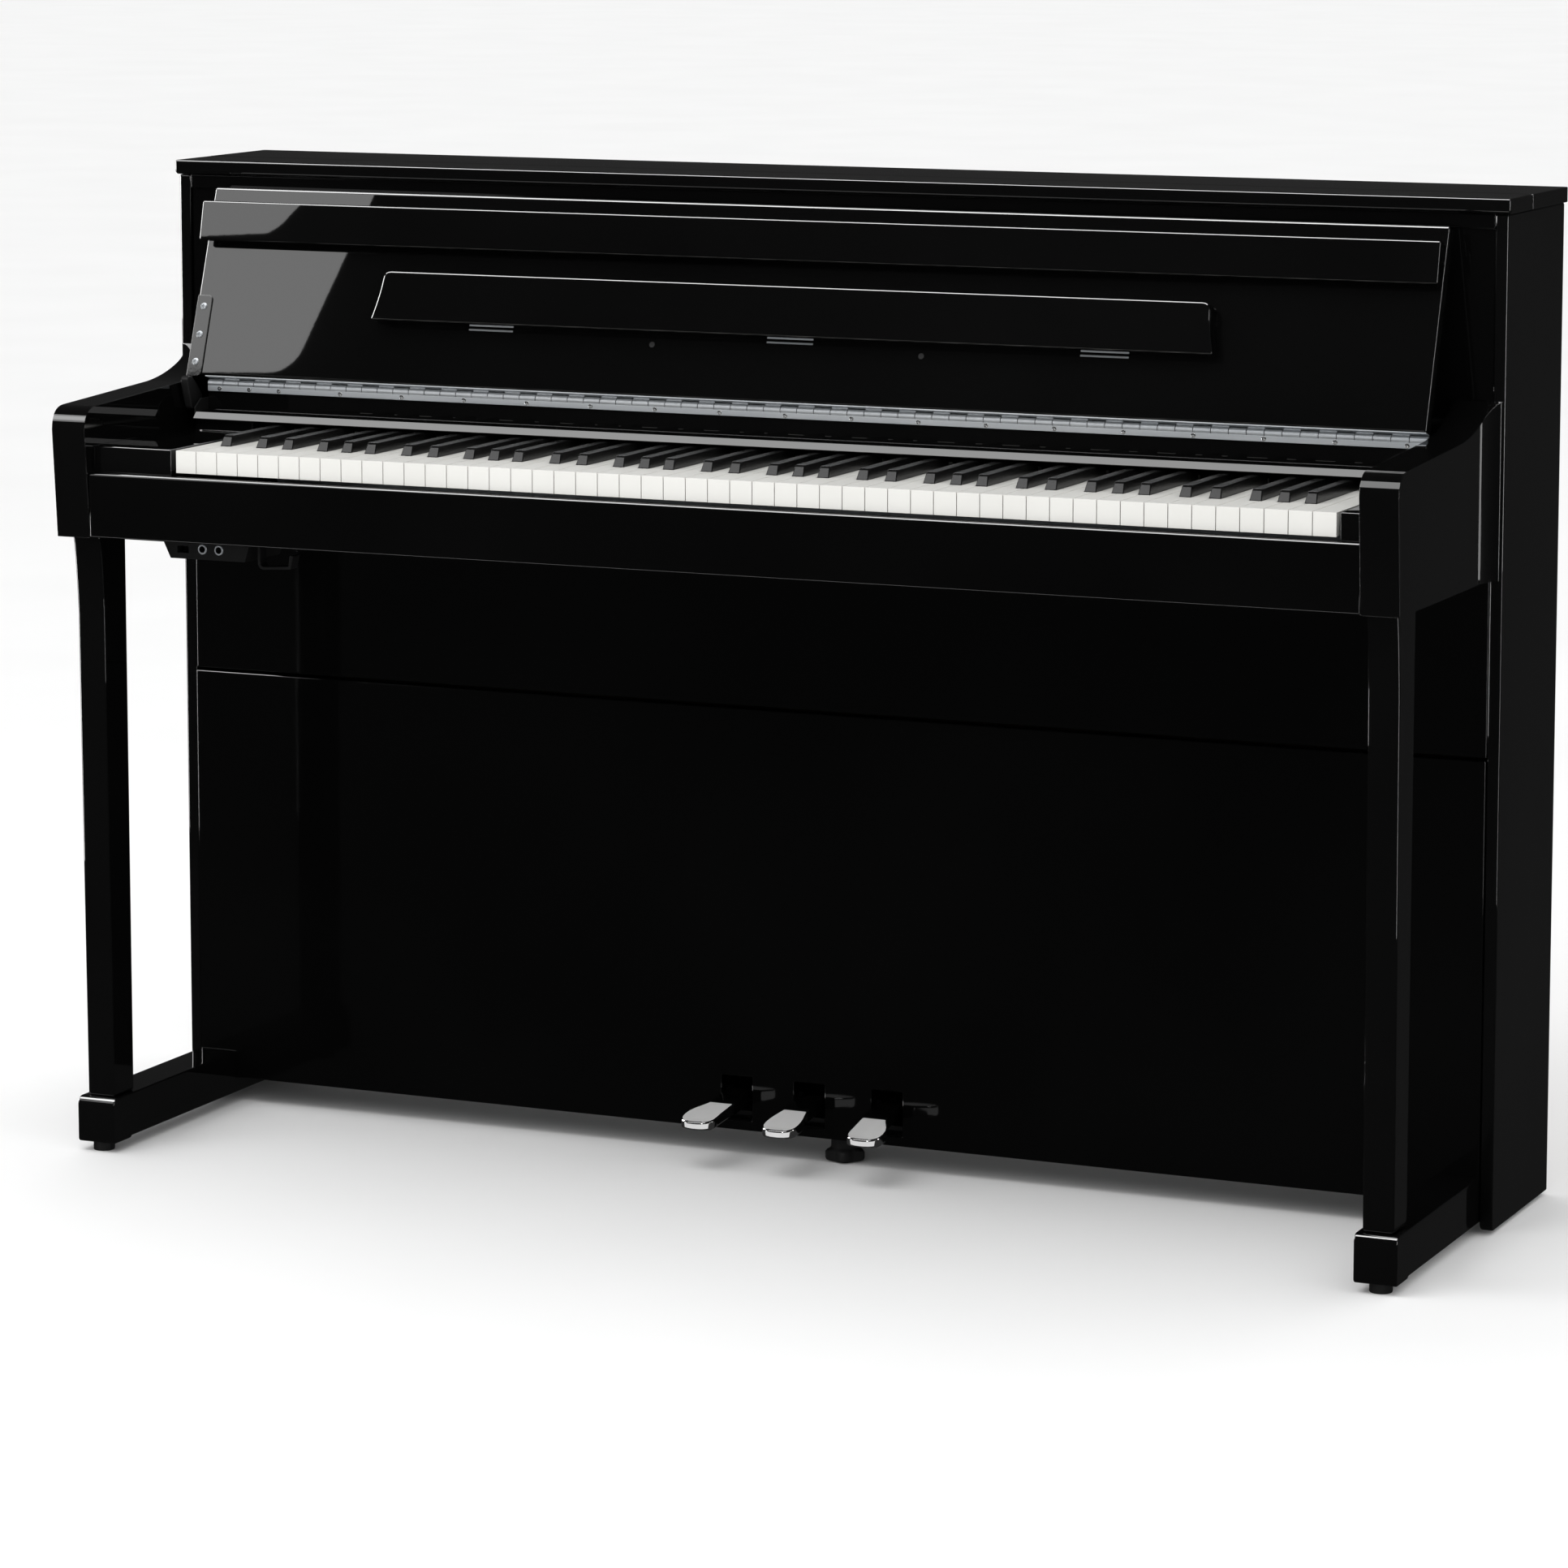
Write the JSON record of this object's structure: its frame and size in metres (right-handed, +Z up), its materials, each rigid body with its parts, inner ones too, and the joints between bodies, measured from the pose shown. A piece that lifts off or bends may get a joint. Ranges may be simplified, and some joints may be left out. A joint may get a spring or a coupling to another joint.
{
  "type": "upright piano",
  "caption": "Slim upright digital piano in polished black with a folding key cover, fold-out music shelf, pedals and legs with feet.",
  "frame": {"origin": "middle of the footprint, on the floor", "axes": "+X along the keyboard towards the treble end, +Y towards the back of the case, +Z up"},
  "size_m": [1.452, 0.469, 1.005],
  "materials": {
    "board_green": "coated circuit board",
    "fibreboard": "hardboard, brown",
    "key_black": "black, fine matt grain",
    "key_white": "slightly warm white, glossy",
    "lacquered_wood": "polished black lacquer over wood board",
    "nickel": "satin nickel plating",
    "rubber_black": "moulded",
    "satin_black": "satin black",
    "satin_steel": "satin"
  },
  "bodies": {
    "case": {"left_side_panel": "lacquered_wood", "right_side_panel": "lacquered_wood", "top_board_front": "lacquered_wood", "top_board_rear": "lacquered_wood", "upper_front_panel": "lacquered_wood", "knee_panel": "lacquered_wood", "lower_front_panel": "lacquered_wood", "back_panel": "fibreboard", "left_arm": "lacquered_wood", "right_arm": "lacquered_wood", "left_leg": "lacquered_wood", "right_leg": "lacquered_wood", "left_foot": "lacquered_wood", "right_foot": "lacquered_wood", "left_front_glide": "rubber_black", "right_front_glide": "rubber_black", "left_rear_glide": "rubber_black", "right_rear_glide": "rubber_black", "key_bed": "lacquered_wood", "key_slip": "lacquered_wood", "left_key_block": "satin_black", "right_key_block": "satin_black", "key_frame": "satin_steel", "hinge_board": "lacquered_wood", "lid_hinge_fixed_leaf": "satin_steel", "soft_fall_damper": "satin_black", "jack_box": "satin_black", "headphone_hook": "satin_black", "pedal_box": "satin_black", "bottom_board": "fibreboard", "main_circuit_board": "board_green", "left_speaker": "satin_black", "right_speaker": "satin_black"},
    "key_cover": {"lid_board": "lacquered_wood", "lid_hinge_moving_leaf": "satin_steel", "lid_bracket_plate": "satin_black", "damper_lever": "rubber_black"},
    "cover_lip": {"lid_lip": "lacquered_wood"},
    "music_shelf_board": {"music_shelf": "lacquered_wood"},
    "power_push": {"power_button": "satin_black"},
    "adjuster": {"pedal_adjuster": "rubber_black"},
    "left_pedal_lever": {"left_pedal": "nickel"},
    "middle_pedal_lever": {"middle_pedal": "nickel"},
    "right_pedal_lever": {"right_pedal": "nickel"},
    "key_c_body": {"key_c": "key_white"},
    "key_c_sharp_body": {"key_c_sharp": "key_black"},
    "key_d_body": {"key_d": "key_white"},
    "key_d_sharp_body": {"key_d_sharp": "key_black"},
    "key_e_body": {"key_e": "key_white"},
    "key_f_body": {"key_f": "key_white"},
    "key_f_sharp_body": {"key_f_sharp": "key_black"},
    "key_g_body": {"key_g": "key_white"},
    "key_g_sharp_body": {"key_g_sharp": "key_black"},
    "key_a_body": {"key_a": "key_white"},
    "key_a_sharp_body": {"key_a_sharp": "key_black"},
    "key_b_body": {"key_b": "key_white"},
    "bass_white_keys_body": {"bass_white_keys": "key_white"},
    "bass_black_keys_body": {"bass_black_keys": "key_black"},
    "treble_white_keys_body": {"treble_white_keys": "key_white"},
    "treble_black_keys_body": {"treble_black_keys": "key_black"}
  },
  "joints": [
    {"name": "key_cover_hinge", "type": "hinge", "parent": "case", "child": "key_cover", "pos_m": [0, -0.0222, 0.7796], "axis": [1, 0, 0], "range_deg": [0, 109.7]},
    {"name": "lip_fold", "type": "hinge", "parent": "key_cover", "child": "cover_lip", "pos_m": [0, 0.02632, 0.96039], "axis": [-1, 0, 0], "range_deg": [0, 90]},
    {"name": "shelf_fold", "type": "hinge", "parent": "key_cover", "child": "music_shelf_board", "pos_m": [0, -0.01209, 0.84691], "axis": [-1, 0, 0], "range_deg": [-90, 0]},
    {"name": "left_pedal_press", "type": "hinge", "parent": "case", "child": "left_pedal_lever", "pos_m": [-0.08, 0.1135, 0.062], "axis": [1, 0, 0], "range_deg": [0, 5.5], "stiffness_Nm_per_rad": 25, "springref_deg": -8.59},
    {"name": "middle_pedal_press", "type": "hinge", "parent": "case", "child": "middle_pedal_lever", "pos_m": [0.001, 0.1135, 0.062], "axis": [1, 0, 0], "range_deg": [0, 5.5], "stiffness_Nm_per_rad": 25, "springref_deg": -8.59},
    {"name": "right_pedal_press", "type": "hinge", "parent": "case", "child": "right_pedal_lever", "pos_m": [0.087, 0.1135, 0.062], "axis": [1, 0, 0], "range_deg": [0, 5.5], "stiffness_Nm_per_rad": 25, "springref_deg": -8.59},
    {"name": "key_c_press", "type": "hinge", "parent": "case", "child": "key_c_body", "pos_m": [-0.02415, -0.0065, 0.71], "axis": [1, 0, 0], "range_deg": [0, 2.7], "stiffness_Nm_per_rad": 1, "springref_deg": -14.32},
    {"name": "key_c_sharp_press", "type": "hinge", "parent": "case", "child": "key_c_sharp_body", "pos_m": [-0.0124, -0.0065, 0.71], "axis": [1, 0, 0], "range_deg": [0, 2.7], "stiffness_Nm_per_rad": 0.5, "springref_deg": -14.32},
    {"name": "key_d_press", "type": "hinge", "parent": "case", "child": "key_d_body", "pos_m": [-0.00065, -0.0065, 0.71], "axis": [1, 0, 0], "range_deg": [0, 2.7], "stiffness_Nm_per_rad": 1, "springref_deg": -14.32},
    {"name": "key_d_sharp_press", "type": "hinge", "parent": "case", "child": "key_d_sharp_body", "pos_m": [0.0111, -0.0065, 0.71], "axis": [1, 0, 0], "range_deg": [0, 2.7], "stiffness_Nm_per_rad": 0.5, "springref_deg": -14.32},
    {"name": "key_e_press", "type": "hinge", "parent": "case", "child": "key_e_body", "pos_m": [0.02285, -0.0065, 0.71], "axis": [1, 0, 0], "range_deg": [0, 2.7], "stiffness_Nm_per_rad": 1, "springref_deg": -14.32},
    {"name": "key_f_press", "type": "hinge", "parent": "case", "child": "key_f_body", "pos_m": [0.04635, -0.0065, 0.71], "axis": [1, 0, 0], "range_deg": [0, 2.7], "stiffness_Nm_per_rad": 1, "springref_deg": -14.32},
    {"name": "key_f_sharp_press", "type": "hinge", "parent": "case", "child": "key_f_sharp_body", "pos_m": [0.0581, -0.0065, 0.71], "axis": [1, 0, 0], "range_deg": [0, 2.7], "stiffness_Nm_per_rad": 0.5, "springref_deg": -14.32},
    {"name": "key_g_press", "type": "hinge", "parent": "case", "child": "key_g_body", "pos_m": [0.06985, -0.0065, 0.71], "axis": [1, 0, 0], "range_deg": [0, 2.7], "stiffness_Nm_per_rad": 1, "springref_deg": -14.32},
    {"name": "key_g_sharp_press", "type": "hinge", "parent": "case", "child": "key_g_sharp_body", "pos_m": [0.0816, -0.0065, 0.71], "axis": [1, 0, 0], "range_deg": [0, 2.7], "stiffness_Nm_per_rad": 0.5, "springref_deg": -14.32},
    {"name": "key_a_press", "type": "hinge", "parent": "case", "child": "key_a_body", "pos_m": [0.09335, -0.0065, 0.71], "axis": [1, 0, 0], "range_deg": [0, 2.7], "stiffness_Nm_per_rad": 1, "springref_deg": -14.32},
    {"name": "key_a_sharp_press", "type": "hinge", "parent": "case", "child": "key_a_sharp_body", "pos_m": [0.1051, -0.0065, 0.71], "axis": [1, 0, 0], "range_deg": [0, 2.7], "stiffness_Nm_per_rad": 0.5, "springref_deg": -14.32},
    {"name": "key_b_press", "type": "hinge", "parent": "case", "child": "key_b_body", "pos_m": [0.11685, -0.0065, 0.71], "axis": [1, 0, 0], "range_deg": [0, 2.7], "stiffness_Nm_per_rad": 1, "springref_deg": -14.32},
    {"name": "bass_white_keys_press", "type": "hinge", "parent": "case", "child": "bass_white_keys_body", "pos_m": [-0.306, -0.0065, 0.71], "axis": [1, 0, 0], "range_deg": [0, 2.7], "stiffness_Nm_per_rad": 24, "springref_deg": -14.32},
    {"name": "bass_black_keys_press", "type": "hinge", "parent": "case", "child": "bass_black_keys_body", "pos_m": [-0.306, -0.0065, 0.71], "axis": [1, 0, 0], "range_deg": [0, 2.7], "stiffness_Nm_per_rad": 8, "springref_deg": -14.32},
    {"name": "treble_white_keys_press", "type": "hinge", "parent": "case", "child": "treble_white_keys_body", "pos_m": [0.387, -0.0065, 0.71], "axis": [1, 0, 0], "range_deg": [0, 2.7], "stiffness_Nm_per_rad": 24, "springref_deg": -14.32},
    {"name": "treble_black_keys_press", "type": "hinge", "parent": "case", "child": "treble_black_keys_body", "pos_m": [0.387, -0.0065, 0.71], "axis": [1, 0, 0], "range_deg": [0, 2.7], "stiffness_Nm_per_rad": 8, "springref_deg": -14.32},
    {"name": "adjuster_turn", "type": "hinge", "parent": "case", "child": "adjuster", "pos_m": [0.028, 0.0775, 0.02], "axis": [0, 0, 1], "continuous": true},
    {"name": "power_button_push", "type": "slide", "parent": "case", "child": "power_push", "axis": [0, 0, 1], "range_m": [0, 0.0025], "stiffness_N_per_m": 600, "springref_m": -0.001}
  ]
}
